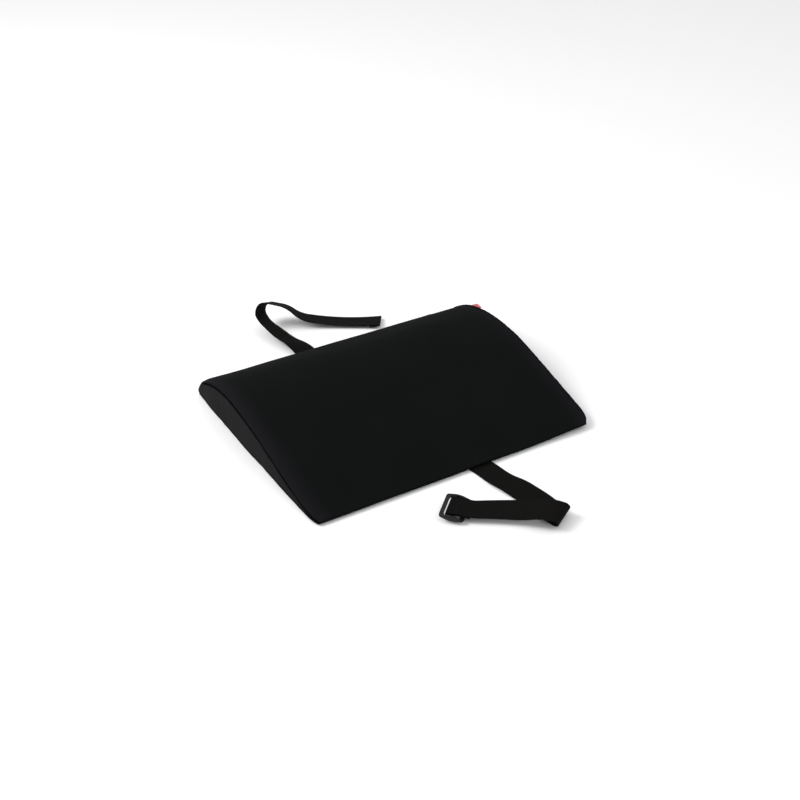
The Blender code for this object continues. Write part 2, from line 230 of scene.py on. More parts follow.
@dataclass(frozen=True)
class Cloth:
    """A fabric: its weave, the size of one stitch, its relief and its colours; the cover's panels also get
    painted shade in their end seams and a painted highlight where they roll over the ends.
    """

    name: str
    weave: Weave
    pitch: tuple[float, float]
    depth: float
    # dark and pale: the colour runs from dark to pale with the thread relief, as painted shade in the
    # hollows and painted highlights on the thread tops, and with random fuzz and tone.
    dark: tuple[float, float, float]
    pale: tuple[float, float, float]
    roughness: float = 0.85
    sheen: float = 0.0
    painted_seam_light: bool = False

    def relief(self, across: Varying, along: Varying) -> Varying:
        """The height of the threads.

        Args:
            across: the place across the cloth, in metres.
            along: the place along it.

        Returns:
            The height from 0 to 1.
        """
        u = across * (1 / self.pitch[0])
        v = along * (1 / self.pitch[1])
        if self.weave is Weave.KNIT:
            wale = abs((u * math.pi).sine())
            slant = abs(u.fraction() - 0.5)
            loop = ((v + slant) * math.tau).sine() * 0.5 + 0.5
            return wale * (loop * 0.45 + 0.55)
        if self.weave is Weave.WEBBING:
            rib = abs((u * math.pi).sine())
            pick = ((v + u.whole() * 0.5) * math.tau).sine() * 0.5 + 0.5
            return rib * (pick * 0.5 + 0.5)
        if self.weave is Weave.SPACER:
            cell = u.fraction() - 0.5
            row = (v + u.whole() * 0.5).fraction() - 0.5
            return ((cell * cell + row * row) ** 0.5 * 3.2 - 0.35).between(0.0, 1.0)
        return (u * math.tau).sine() * (v * math.tau).sine() * 0.5 + 0.5

    def make(self) -> bpy.types.Material:
        """The material."""
        paint = Palette(self.name)
        height = self.relief(*paint.cloth_place())
        fuzz = paint.cloud(2600, 3)
        worn = paint.cloud(14, 3, 0.6)
        # The thread relief paints the hollows darker and the thread tops paler, as painted shade and
        # highlights; fuzz and worn add random tone.
        tone = (height * 0.55 + fuzz * 0.35 + worn * 0.5 - 0.2).between(0.0, 1.0)
        colour = paint.mix(tone, self.dark, self.pale)
        if self.painted_seam_light:
            # Painted highlight along the rolled band next to the end seam, then painted shade in the seam
            # groove.
            colour = paint.mix(paint.mark(EDGE_HIGHLIGHT_MARK) * (tone * 0.4 + 0.6), colour, EDGE_HIGHLIGHT)
            colour = paint.mix(paint.mark(SEAM_SHADE_MARK), colour, SEAM_SHADE)
        paint.feed(paint.shader.inputs["Base Color"], colour)
        paint.feed(paint.shader.inputs["Roughness"], worn * 0.12 + (self.roughness - 0.06))
        paint.bump(height * 0.75 + fuzz * 0.25, self.depth)
        paint.set(Specular_IOR_Level=0.03, Sheen_Weight=self.sheen, Sheen_Roughness=0.6)
        return paint.material


@dataclass(frozen=True)
class Moulded:
    """Moulded nylon or die-cast metal with a fine grain and rubbed places."""

    name: str
    colour: tuple[float, float, float]
    rubbed: tuple[float, float, float]
    roughness: float
    grain: float
    metallic: float = 0.0
    specular: float = 0.5

    def make(self) -> bpy.types.Material:
        """The material."""
        paint = Palette(self.name)
        grain = paint.cloud(1500, 4, 0.6)
        rubbed = ((paint.cloud(110, 5, 0.65) - 0.56) * 6).between(0.0, 1.0)
        paint.feed(paint.shader.inputs["Base Color"], paint.mix(rubbed * 0.5, self.colour, self.rubbed))
        paint.feed(paint.shader.inputs["Roughness"], grain * 0.16 + (self.roughness - 0.08) - rubbed * 0.05)
        paint.bump(grain, self.grain, 0.6)
        paint.set(Metallic=self.metallic, Specular_IOR_Level=self.specular)
        return paint.material


@dataclass(frozen=True)
class Thread:
    """Twisted sewing thread."""

    name: str = "thread"
    dark: tuple[float, float, float] = (0.006, 0.006, 0.0065)
    pale: tuple[float, float, float] = (0.022, 0.022, 0.023)

    def make(self) -> bpy.types.Material:
        """The material."""
        paint = Palette(self.name)
        twist = paint.cloud(3600, 2)
        paint.feed(paint.shader.inputs["Base Color"], paint.mix(twist, self.dark, self.pale))
        paint.bump(twist, 0.00008)
        paint.set(Roughness=0.6, Specular_IOR_Level=0.4)
        return paint.material


@dataclass(frozen=True)
class Foam:
    """Open-cell foam."""

    name: str = "foam"
    dark: tuple[float, float, float] = (0.42, 0.36, 0.23)
    pale: tuple[float, float, float] = (0.75, 0.68, 0.50)

    def make(self) -> bpy.types.Material:
        """The material."""
        paint = Palette(self.name)
        sockets = {"Vector": paint.place(), "Scale": 900.0}
        cells = Varying(paint.tree, paint.node("ShaderNodeTexVoronoi", {}, sockets).outputs[0])
        tone = (cells * 0.9 + paint.cloud(30) * 0.4).between(0.0, 1.0)
        paint.feed(paint.shader.inputs["Base Color"], paint.mix(tone, self.dark, self.pale))
        paint.bump(cells, 0.0005)
        paint.set(Roughness=0.95, Specular_IOR_Level=0.2)
        return paint.material


@dataclass
class Finishes:
    """Every finish of the object, made once."""

    cover: bpy.types.Material = field(init=False)
    gusset: bpy.types.Material = field(init=False)
    back: bpy.types.Material = field(init=False)
    webbing: bpy.types.Material = field(init=False)
    tape: bpy.types.Material = field(init=False)
    tab: bpy.types.Material = field(init=False)
    plastic: bpy.types.Material = field(init=False)
    coil: bpy.types.Material = field(init=False)
    metal: bpy.types.Material = field(init=False)
    thread: bpy.types.Material = field(init=False)
    foam: bpy.types.Material = field(init=False)

    def __post_init__(self) -> None:
        """Makes the materials."""
        self.cover = Cloth(
            "cover_fabric", Weave.KNIT, (0.95 * MM, 1.1 * MM), 0.22 * MM,
            (0.0021, 0.0024, 0.0024), (0.0066, 0.0073, 0.0073), 0.88, painted_seam_light=True,
        ).make()
        # The end gussets use a knit like the top panel's, painted about 2.5 times as light to stand in for
        # the extra light that falls on the end faces.
        self.gusset = Cloth(
            "gusset_fabric", Weave.KNIT, (1.3 * MM, 1.3 * MM), 0.25 * MM,
            (0.0050, 0.0050, 0.0054), (0.0170, 0.0171, 0.0184), 0.88, painted_seam_light=True,
        ).make()
        self.back = Cloth(
            "back_fabric", Weave.SPACER, (2.6 * MM, 2.6 * MM), 0.6 * MM,
            (0.0020, 0.0020, 0.0022), (0.0130, 0.0132, 0.0138), 0.9,
        ).make()
        self.webbing = Cloth(
            "webbing", Weave.WEBBING, (1.25 * MM, 1.5 * MM), 0.28 * MM,
            (0.0022, 0.0021, 0.0020), (0.0088, 0.0083, 0.0080), 0.8,
        ).make()
        self.tape = Cloth(
            "zip_tape", Weave.TAPE, (0.7 * MM, 0.7 * MM), 0.12 * MM,
            (0.0055, 0.0055, 0.0060), (0.0180, 0.0180, 0.0190), 0.8,
        ).make()
        self.tab = Cloth(
            "tab_fabric", Weave.TAPE, (0.8 * MM, 0.8 * MM), 0.12 * MM,
            (0.42, 0.06, 0.07), (0.72, 0.22, 0.24), 0.8,
        ).make()
        self.plastic = Moulded(
            "buckle_plastic", (0.0026, 0.0026, 0.0029), (0.011, 0.011, 0.012), 0.42, 0.04 * MM, 0.0, 0.28
        ).make()
        self.coil = Moulded("zip_coil", (0.011, 0.011, 0.012), (0.03, 0.03, 0.032), 0.36, 0.02 * MM).make()
        self.metal = Moulded(
            "zip_metal", (0.016, 0.016, 0.018), (0.18, 0.18, 0.19), 0.34, 0.02 * MM, 0.75
        ).make()
        self.thread = Thread().make()
        self.foam = Foam().make()


# Making pieces ----------------------------------------------------------------------------------


def install(
    name: str,
    mesh: bpy.types.Mesh,
    material: bpy.types.Material,
    body: str = ROOT,
    nodes: tuple[str, ...] = (),
    sharp: float = 50.0,
) -> bpy.types.Object:
    """Puts a finished mesh in the scene as a piece of the object.

    Args:
        name: the piece's name.
        mesh: its mesh, in place.
        material: its finish.
        body: the CAD body that it rides on.
        nodes: the CAD nodes that it stands for.
        sharp: the angle in degrees above which an edge is sharp.

    Returns:
        The piece.
    """
    piece = bpy.data.objects.new(name, mesh)
    bpy.context.scene.collection.objects.link(piece)
    mesh.materials.clear()
    mesh.materials.append(material)
    mesh.shade_smooth()
    mesh.set_sharp_from_angle(angle=math.radians(sharp))
    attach(piece, body)
    if nodes:
        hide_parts(*nodes)
    LOG.info("%s: %d faces, on %s", name, len(mesh.polygons), body)
    return piece


def deselect() -> None:
    """Leaves object mode with nothing selected."""
    if bpy.context.mode != "OBJECT":
        bpy.ops.object.mode_set(mode="OBJECT")
    bpy.ops.object.select_all(action="DESELECT")


def take_mesh(piece: bpy.types.Object) -> bpy.types.Mesh:
    """The mesh of a working object, which is then removed."""
    mesh = piece.data
    bpy.data.objects.remove(piece, do_unlink=True)
    return mesh


def rounded_box(low: Vector, high: Vector, radius: float) -> bpy.types.Object:
    """A box with rounded edges.

    Args:
        low: its lowest corner.
        high: its highest corner.
        radius: the radius of its edges.

    Returns:
        A working object, selected.
    """
    deselect()
    bpy.ops.mesh.primitive_cube_add(size=1, location=(low + high) / 2, scale=high - low)
    bpy.ops.object.transform_apply(location=True, rotation=False, scale=True)
    bpy.ops.object.mode_set(mode="EDIT")
    bpy.ops.mesh.select_all(action="SELECT")
    bpy.ops.mesh.bevel(offset=radius, segments=3, affect="EDGES")
    bpy.ops.object.mode_set(mode="OBJECT")
    return bpy.context.object


def copy_of_node(node: str, local: Matrix) -> bpy.types.Object:
    """A CAD node's shape, merged, as a working object in the axes of local."""
    bm = bmesh.new()
    bm.from_mesh(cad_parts[node].data)
    bmesh.ops.remove_doubles(bm, verts=bm.verts, dist=2e-6)
    bmesh.ops.transform(bm, matrix=local.inverted(), verts=bm.verts)
    mesh = bpy.data.meshes.new(node)
    bm.to_mesh(mesh)
    bm.free()
    piece = bpy.data.objects.new("working", mesh)
    bpy.context.scene.collection.objects.link(piece)
    return piece


def soften(parts: list[bpy.types.Object], local: Matrix, grain: float, passes: int) -> bpy.types.Mesh:
    """Melts parts into one body with soft edges, as from a mould.

    Args:
        parts: the working objects, in the axes of local.
        local: where those axes are.
        grain: the size of the new faces.
        passes: how often the surface is evened out.

    Returns:
        The mesh, in place.
    """
    deselect()
    for part in parts:
        part.select_set(True)
    bpy.context.view_layer.objects.active = parts[0]
    if len(parts) > 1:
        bpy.ops.object.join()
    body = bpy.context.view_layer.objects.active
    melt = body.modifiers.new("melt", "REMESH")
    melt.mode = "VOXEL"
    melt.voxel_size = grain
    even = body.modifiers.new("even", "SMOOTH")
    even.factor = 0.5
    even.iterations = passes
    for name in ("melt", "even"):
        bpy.ops.object.modifier_apply(modifier=name)
    body.data.transform(local)
    return take_mesh(body)


class Line:
    """A line of points, measured along its length."""

    def __init__(self, points: list[Vector]) -> None:
        """Measures the points' line."""
        self.points = points
        self.marks = [0.0]
        for one, following in zip(points, points[1:]):
            self.marks.append(self.marks[-1] + (following - one).length)

    @property
    def length(self) -> float:
        """The whole length."""
        return self.marks[-1]

    def at(self, distance: float) -> Vector:
        """The point at that distance from the start."""
        distance = min(max(distance, 0.0), self.length)
        i = min(bisect_right(self.marks, distance), len(self.marks) - 1)
        span = self.marks[i] - self.marks[i - 1]
        return self.points[i - 1].lerp(self.points[i], (distance - self.marks[i - 1]) / span)

    def outward(self, distance: float) -> Vector:
        """The direction to the left of the line there."""
        along = (self.at(distance + 0.6 * MM) - self.at(distance - 0.6 * MM)).normalized()
        return Vector((-along.y, along.x))


def smooth_line(points: list[tuple[float, float]], steps: int) -> list[Vector]:
    """The points joined by a Catmull-Rom curve.

    Args:
        points: the points in order.
        steps: the steps between two of them.

    Returns:
        The points of the curve.
    """
    ends = [points[0], *points, points[-1]]
    line = []
    for i in range(len(points) - 1):
        a, b, c, d = (Vector(p) for p in ends[i : i + 4])
        for k in range(steps):
            t = k / steps
            line.append(
                b
                + (c - a) * t / 2
                + (2 * a - 5 * b + 4 * c - d) * t**2 / 2
                + (3 * b - a - 3 * c + d) * t**3 / 2
            )
    line.append(Vector(points[-1]))
    return line


EDGE_MARKS = [0.0, 0.3, 0.7, 1.2, 1.9, 2.8, 4.0, 5.6, 7.8, 10.5]


def marks(total: float, step: float) -> list[float]:
    """Distances from 0 to total, close together near both ends and about step apart between."""
    edge = [m * MM for m in EDGE_MARKS if m * MM < total / 2.2]
    span = total - 2 * edge[-1]
    count = max(1, math.ceil(span / step))
    middle = [edge[-1] + span * k / count for k in range(1, count)]
    return edge + middle + [total - m for m in reversed(edge)]


def ease(value: float) -> float:
    """A smooth rise from 0 at 0 to 1 at 1."""
    value = min(max(value, 0.0), 1.0)
    return value * value * (3 - 2 * value)


def grid_slab(
    points: list[list[Vector]],
    flat: list[list[tuple[float, float]]],
    thickness: float,
    outward: Vector,
    edging: list[list[tuple[float, float]]] | None = None,
) -> bpy.types.Mesh:
    """A closed panel of cloth.

    Args:
        points: rows of points on its outer face.
        flat: each point's place on the flat cloth.
        thickness: the cloth's thickness.
        outward: a direction that its outer face looks in, on the whole.
        edging: how much painted shade each point gets in a seam and how much painted highlight where the
            cloth rolls over an edge, from 0 to 1.

    Returns:
        The mesh, with the flat places as its UV map.
    """
    rows, columns = len(points), len(points[0])
    bm = bmesh.new()
    uv = bm.loops.layers.uv.new(CLOTH_UV)
    normals = []
    total = Vector()
    for i in range(rows):
        line = []
        for j in range(columns):
            down = points[min(i + 1, rows - 1)][j] - points[max(i - 1, 0)][j]
            right = points[i][min(j + 1, columns - 1)] - points[i][max(j - 1, 0)]
            line.append(down.cross(right).normalized())
            total += line[-1]
        normals.append(line)
    sign = 1 if total.dot(outward) > 0 else -1
    place = {}
    faces = []
    outer = [[bm.verts.new(p) for p in row] for row in points]
    inner = []
    for i in range(rows):
        inner.append([bm.verts.new(points[i][j] - normals[i][j] * thickness * sign) for j in range(columns)])
    for layer in (outer, inner):
        for i in range(rows):
            for j in range(columns):
                place[layer[i][j]] = flat[i][j]
        for i in range(rows - 1):
            for j in range(columns - 1):
                faces.append((layer[i][j], layer[i][j + 1], layer[i + 1][j + 1], layer[i + 1][j]))
    rim = [(0, j) for j in range(columns - 1)] + [(i, columns - 1) for i in range(rows - 1)]
    rim += [(rows - 1, j) for j in range(columns - 1, 0, -1)] + [(i, 0) for i in range(rows - 1, 0, -1)]
    for (i, j), (k, m) in zip(rim, rim[1:] + rim[:1]):
        faces.append((outer[i][j], outer[k][m], inner[k][m], inner[i][j]))
    for corners in faces:
        face = bm.faces.new(corners)
        for loop in face.loops:
            loop[uv].uv = place[loop.vert]
    bmesh.ops.recalc_face_normals(bm, faces=bm.faces)
    mesh = bpy.data.meshes.new("panel")
    bm.to_mesh(mesh)
    bm.free()
    for number, name in enumerate((SEAM_SHADE_MARK, EDGE_HIGHLIGHT_MARK) if edging else ()):
        shares = [pair[number] for row in edging for pair in row]
        mesh.attributes.new(name, "FLOAT", "POINT").data.foreach_set("value", shares * 2)
    return mesh


@dataclass
class Settling:
    """Cloth held at its seams and pressed outward by the filling, and how far that moves it."""

    points: list[list[Vector]]
    outward: Vector
    pressure: float = 4.0
    slack: float = 0.004
    limit: float = 1.6 * MM
    frames: int = 20

    def solve(self) -> list[list[float]]:
        """Runs the cloth.

        Returns:
            How far each point moved outward, as rows.
        """
        rows, columns = len(self.points), len(self.points[0])
        bm = bmesh.new()
        made = [[bm.verts.new(p) for p in row] for row in self.points]
        for i in range(rows - 1):
            for j in range(columns - 1):
                bm.faces.new((made[i][j], made[i][j + 1], made[i + 1][j + 1], made[i + 1][j]))
        bm.normal_update()
        total = sum((f.normal for f in bm.faces), Vector())
        if total.dot(self.outward) < 0:
            bmesh.ops.reverse_faces(bm, faces=bm.faces)
        mesh = bpy.data.meshes.new("settling")
        bm.to_mesh(mesh)
        bm.free()
        sheet = bpy.data.objects.new("settling", mesh)
        bpy.context.scene.collection.objects.link(sheet)
        seam = sheet.vertex_groups.new(name="seam")
        held = [i * columns + j for i in range(rows) for j in range(columns) if self.on_edge(i, j)]
        seam.add(held, 1.0, "REPLACE")
        cloth = sheet.modifiers.new("cloth", "CLOTH")
        cloth.settings.quality = 6
        cloth.settings.mass = 0.25
        cloth.settings.tension_stiffness = 20
        cloth.settings.compression_stiffness = 12
        cloth.settings.shear_stiffness = 8
        cloth.settings.bending_stiffness = 1.0
        cloth.settings.shrink_min = -self.slack
        cloth.settings.use_pressure = True
        cloth.settings.uniform_pressure_force = self.pressure
        cloth.settings.vertex_group_mass = "seam"
        cloth.settings.effector_weights.gravity = 0
        cloth.collision_settings.use_collision = False
        cloth.point_cache.frame_start = 1
        cloth.point_cache.frame_end = self.frames
        scene = bpy.context.scene
        for number in range(1, self.frames + 1):
            scene.frame_set(number)
        settled = sheet.evaluated_get(bpy.context.evaluated_depsgraph_get()).data
        normals = [v.normal.copy() for v in mesh.vertices]
        moves = [(new.co - old.co).dot(n) for new, old, n in zip(settled.vertices, mesh.vertices, normals)]
        scene.frame_set(1)
        take_mesh(sheet)
        kept = [min(max(m, -0.3 * MM), self.limit) for m in moves]
        LOG.info("cloth settled by up to %.2f mm", max(moves) / MM)
        return [kept[i * columns : (i + 1) * columns] for i in range(rows)]

    def on_edge(self, i: int, j: int) -> bool:
        """Whether that point is on a seam."""
        return i in (0, len(self.points) - 1) or j in (0, len(self.points[0]) - 1)


def evened(grid: list[list[float]], passes: int) -> list[list[float]]:
    """The grid of heights with each one drawn to the middle of its neighbours.

    Args:
        grid: rows of heights.
        passes: how often they are evened.

    Returns:
        The evened rows.
    """
    rows, columns = len(grid), len(grid[0])
    for _ in range(passes):
        grid = [
            [
                (
                    2 * grid[i][j]
                    + grid[max(i - 1, 0)][j] + grid[min(i + 1, rows - 1)][j]
                    + grid[i][max(j - 1, 0)] + grid[i][min(j + 1, columns - 1)]
                ) / 6
                for j in range(columns)
            ]
            for i in range(rows)
        ]
    return grid


def sample(field_rows: list[list[float]], down: float, right: float) -> float:
    """The field's value at those shares of its rows and columns."""
    y = min(max(down, 0.0), 1.0) * (len(field_rows) - 1)
    x = min(max(right, 0.0), 1.0) * (len(field_rows[0]) - 1)
    i, j = min(int(y), len(field_rows) - 2), min(int(x), len(field_rows[0]) - 2)
    v, u = y - i, x - j
    upper = field_rows[i][j] * (1 - u) + field_rows[i][j + 1] * u
    lower = field_rows[i + 1][j] * (1 - u) + field_rows[i + 1][j + 1] * u
    return upper * (1 - v) + lower * v


# Cushion ----------------------------------------------------------------------------------------

SECTION = [
    (-0.1488, 0.0015), (-0.1502, 0.0017), (-0.1509, 0.0027), (-0.1508, 0.0039), (-0.1497, 0.0051),
    (-0.1340, 0.0082), (-0.0960, 0.0190), (-0.0400, 0.0340), (0.0110, 0.0456), (0.0600, 0.0490),
    (0.1000, 0.0430), (0.1290, 0.0298), (0.1440, 0.0150), (0.1500, 0.0050), (0.1496, 0.0022),
    (0.1480, 0.0012),
]
GUSSET_SHARES = [
    0, 0.006, 0.013, 0.024, 0.04, 0.065, 0.1, 0.16, 0.24, 0.34, 0.45, 0.56, 0.67, 0.77, 0.85, 0.91,
    0.95, 0.97, 0.982, 0.99, 0.995, 1,
]


@dataclass
class Cover:
    """The sewn cover: top panel, strip below the zip, end gussets and back panel."""

    finishes: Finishes
    half_length: float = 0.180
    front_y: float = -0.150
    rear_y: float = 0.1468
    fabric: float = 1.4 * MM
    gusset_cloth: float = 0.8 * MM
    back_cloth: float = 1.2 * MM
    slack: float = 0.4 * MM
    bow: float = 1.8 * MM
    least_drop: float = 0.8 * MM
    wrap_inset: float = 3.4 * MM
    lip_dip: float = 0.9 * MM
    lip_reach: float = 1.5 * MM
    seam_curl: float = 1.6 * MM
    groove: float = 2.6 * MM
    fullness: float = 1.5 * MM
    mesh_step: float = 3 * MM
    seam_drop: tuple[float, float] = (5.0 * MM, 1.0 * MM)
    roll: tuple[float, float] = (9 * MM, 3 * MM)
    bottom_seam: float = 1.7 * MM
    zip_height: float = 0.0148
    zip_opening: float = 9.6 * MM
    zip_end: float = 0.1565
    line: Line = field(init=False)
    above: Line = field(init=False)
    below: Line = field(init=False)

    def __post_init__(self) -> None:
        """Lays out the section, and splits it at the zip."""
        self.line = Line(smooth_line(SECTION, 12))
        crest = max(range(len(self.line.points)), key=lambda i: self.line.points[i].y)
        zip_mark = next(
            m for p, m in zip(self.line.points[crest:], self.line.marks[crest:]) if p.y < self.zip_height
        )
        half = self.zip_opening / 2
        self.zip_mark = zip_mark
        self.upper_lip = zip_mark - half
        self.lower_lip = zip_mark + half

    def end_x(self, side: int, y: float) -> float:
        """Where an end seam runs at that depth of the cushion."""
        from_front = max(y - self.front_y, 0.0)
        tuck = (3.0 if side < 0 else 12.0) * MM * math.exp(-from_front / (6 * MM if side < 0 else 11 * MM))
        wave = 0.5 * MM * noise.noise(Vector((side * 3.0, y * 22, 0.4)))
        wave += 0.4 * MM * noise.noise(Vector((side * 3.0, y * 75, 2.4)))
        share = min(from_front / (self.rear_y - self.front_y), 1.0)
        return side * (self.half_length - tuck + wave + 4 * self.bow * share * (1 - share))

    def lift(self, x: float, y: float) -> float:
        """How far the thin front edge stands off the floor there."""
        corner = ease((x - 0.08) / 0.10) * ease((-0.105 - y) / 0.045)
        ripple = 0.5 * (1 + noise.noise(Vector((x * 16, 2.7, 0)))) * ease((-0.12 - y) / 0.03)
        return 3.0 * MM * corner + 0.9 * MM * ripple

    def drop(self, mark: float, side: int) -> float:
        """How far the end seam lies below the top of the cushion."""
        level = ease((self.line.outward(mark).y - 0.62) / 0.33)
        deep = self.least_drop + (self.seam_drop[side > 0] - self.least_drop) * level
        return min(deep, 0.4 * max(self.line.at(mark).y - self.bottom_seam, 0.0))

    def wrap(self, mark: float) -> float:
        """How far the gusset wraps round onto the rear slope there, from 0 to 1."""
        if self.line.at(mark).x < 0:
            return 0.0
        return 1 - ease((self.line.outward(mark).y - 0.55) / 0.3)

    def ends(self, mark: float) -> tuple[float, float]:
        """Where a long panel starts and stops along the cushion."""
        y = self.line.at(mark).x
        inset = self.wrap_inset * self.wrap(mark)
        return self.end_x(-1, y) + inset, self.end_x(1, y) - inset

    def edging(self, share: float, mark: float) -> tuple[float, float]:
        """How much painted shade a long panel gets in the end seam, and how much painted highlight where it
        rolls over the edge.
        """
        left, right = self.ends(mark)
        to_seam = (right - left) * min(share, 1 - share)
        side = 1 if share > 0.5 else -1
        from_roll = 1 - min(to_seam / self.roll[side > 0], 1.0)
        beside = math.hypot(to_seam, self.drop(mark, side) * math.sqrt(1 - from_roll**2))
        # Painted shade within about 1.6 mm of the seam, and a painted highlight on the band where the panel
        # rolls over the end, rising over 2.5 mm and fading out between 3 and 23 mm from the seam.
        highlight_share = ease(beside / (2.5 * MM)) * (1 - ease((to_seam - 3 * MM) / (20 * MM)))
        return 1 - ease((beside - 0.7 * MM) / (0.9 * MM)), highlight_share

    def unevenness(self, point: Vector) -> float:
        """The slow swells of a foam cushion's surface."""
        slow = 0.55 * MM * noise.noise(point * 17) + 0.14 * MM * noise.noise(point * 48)
        away = (point.x + 0.012) ** 2 / 0.020**2 + (point.y + 0.136) ** 2 / 0.007**2
        return slow - 0.8 * MM * math.exp(-away)

    def surface(self, share: float, mark: float, swell: float) -> Vector:
        """A point on the top panel's or the zip strip's outer face.

        Args:
            share: the place along the cushion, from 0 at its left end to 1.
            mark: the distance along the section's line.
            swell: how far the filling presses the cloth out.

        Returns:
            The point.
        """
        section = self.line.at(mark)
        left, right = self.ends(mark)
        x = left + (right - left) * share
        outward = self.line.outward(mark)
        to_seam = min(x - left, right - x)
        to_seam = max(to_seam, 0.0)
        side = 1 if share > 0.5 else -1
        from_roll = 1 - min(to_seam / self.roll[side > 0], 1.0)
        rolled = self.drop(mark, side) * (1 - math.sqrt(1 - from_roll**2))
        pucker = 0.16 * MM * math.sin(mark * math.tau / (8.5 * MM)) * math.exp(-to_seam / (3.5 * MM))
        thin = ease((mark - 4 * MM) / (20 * MM))
        place = Vector((x, section.x, section.y))
        height = (swell - self.slack + self.unevenness(place)) * thin - rolled + pucker
        from_zip = abs(mark - self.zip_mark) - self.lip_gap(x)
        height -= self.lip_dip * math.exp(-max(from_zip, 0.0) / self.lip_reach)
        curl = self.seam_curl * math.exp(-to_seam / (0.12 * MM)) * thin
        place.x += curl if x - left < right - x else -curl
        place.y += outward.x * height
        place.z = max(place.z + outward.y * height, 0.3 * MM) + self.lift(x, section.x)
        return place

    def lip_gap(self, x: float) -> float:
        """Half the zip's opening at that place along the cushion."""
        closed = -0.3 * MM
        return closed + (self.zip_opening / 2 - closed) * (1 - ease((abs(x) - self.zip_end) / (5 * MM)))

    def panel(self, start: float, stop: float, swell: Callable[[float, float], float]) -> bpy.types.Mesh:
        """A panel that runs the whole length of the cushion.

        Args:
            start: where its section starts.
            stop: where its section stops.
            swell: the filling's push at shares of its section and its length.

        Returns:
            Its mesh.
        """
        at_zip_start = start > self.zip_mark
        section = marks(stop - start, self.mesh_step)
        along = marks(2 * self.half_length, self.mesh_step)
        points, flat, edging = [], [], []
        for mark in section:
            share_down = mark / (stop - start)
            line, place, edges = [], [], []
            for distance in along:
                share = distance / (2 * self.half_length)
                closing = self.zip_opening / 2 - self.lip_gap((share - 0.5) * 2 * self.half_length)
                shift = -closing * (1 - share_down) if at_zip_start else closing * share_down
                spot = start + mark + shift
                line.append(self.surface(share, spot, swell(share_down, share)))
                place.append((distance, spot))
                edges.append(self.edging(share, spot))
            points.append(line)
            flat.append(place)
            edging.append(edges)
        outward = Vector((0, 1, 0)) if at_zip_start else Vector((0, 0, 1))
        return grid_slab(points, flat, self.fabric, outward, edging)

    def top(self) -> bpy.types.Object:
        """The top panel, pressed out by the foam."""
        rows, columns = 52, 62
        coarse = []
        for i in range(rows):
            mark = self.upper_lip * i / (rows - 1)
            coarse.append([self.surface(j / (columns - 1), mark, 0.0) for j in range(columns)])
        pressed = evened(Settling(coarse, Vector((0, 0, 1))).solve(), 4)
        mesh = self.panel(0.0, self.upper_lip, lambda down, share: sample(pressed, down, share))
        piece = install("cover_top", mesh, self.finishes.cover, nodes=("top_panel",))
        return piece

    def strip(self) -> bpy.types.Object:
        """The narrow strip between the zip and the back panel."""
        mesh = self.panel(self.lower_lip, self.line.length, lambda down, share: 0.0)
        nodes = ("lower_zip_strip",)
        return install("cover_zip_strip", mesh, self.finishes.cover, nodes=nodes)

    def gusset(self, side: int, name: str, node: str) -> bpy.types.Object:
        """An end gusset.

        Args:
            side: -1 for the left end, 1 for the right.
            name: the piece's name.
            node: the CAD node that it stands for.

        Returns:
            The piece.
        """
        start = next(m for p, m in zip(self.line.points, self.line.marks) if p.y > 5.4 * MM)
        stop = max(m for p, m in zip(self.line.points, self.line.marks) if p.y > 2.6 * MM)
        points, flat, edging = [], [], []
        for mark in marks(stop - start, 3.5 * MM):
            mark += start
            section = self.line.at(mark)
            outward = self.line.outward(mark)
            wrap = self.wrap(mark)
            sunk = (self.drop(mark, side) + 1.2 * MM) * (1 - wrap) + 0.7 * MM * wrap
            high = section - outward * sunk
            low_y = min(section.x, self.rear_y - 0.4 * MM)
            height = max(high.y - self.bottom_seam, 0.3 * MM)
            line, place, edges = [], [], []
            for share in GUSSET_SHARES:
                y = low_y + (high.x - low_y) * share
                z = self.bottom_seam + height * share
                to_seam = min(share, 1 - share) * height
                bulge = self.fullness * (1 - math.exp(-to_seam / (6 * MM))) * min(height / (22 * MM), 1.0)
                sink = self.groove * math.exp(-to_seam / (0.4 * MM)) * (1 - wrap if share > 0.5 else 1)
                swell = 0.45 * MM * noise.noise(Vector((side * 5, y * 30, z * 40)))
                swell += 0.14 * MM * math.sin(mark * math.tau / (8.5 * MM)) * math.exp(-to_seam / (3.5 * MM))
                x = self.end_x(side, section.x) + side * (bulge - sink + swell - 0.6 * MM)
                line.append(Vector((x, y, z + self.lift(x, y))))
                place.append((y, z))
                # Painted shade in the seam groove along the gusset's top rim, none where it wraps onto the
                # rear slope; the tuck rows inside the seam get it in full.
                edges.append(((1 - ease(((1 - share) * height - 0.9 * MM) / (0.8 * MM))) * (1 - wrap), 0.0))
            seam = line[-1]
            for inward, rise in (
                (0.5 * MM + 0.2 * MM * wrap, 1.0 * MM - 0.2 * MM * wrap),
                (1.0 * MM + 2.0 * MM * wrap, 2.0 * MM - 1.2 * MM * wrap),
            ):
                line.append(seam + Vector((-side * inward, outward.x * rise, outward.y * rise)))
                place.append((place[-1][0], place[-1][1] + 1 * MM))
                edges.append((1 - wrap, 0.0))
            line.insert(0, line[0] + Vector((-side * MM, 0, -0.4 * MM)))
            place.insert(0, (place[0][0], place[0][1] - 1.2 * MM))
            edges.insert(0, (0.0, 0.0))
            points.append(line)
            flat.append(place)
            edging.append(edges)
        mesh = grid_slab(points, flat, self.gusset_cloth, Vector((side, 0, 0)), edging)
        piece = install(name, mesh, self.finishes.gusset, nodes=(node,))
        return piece

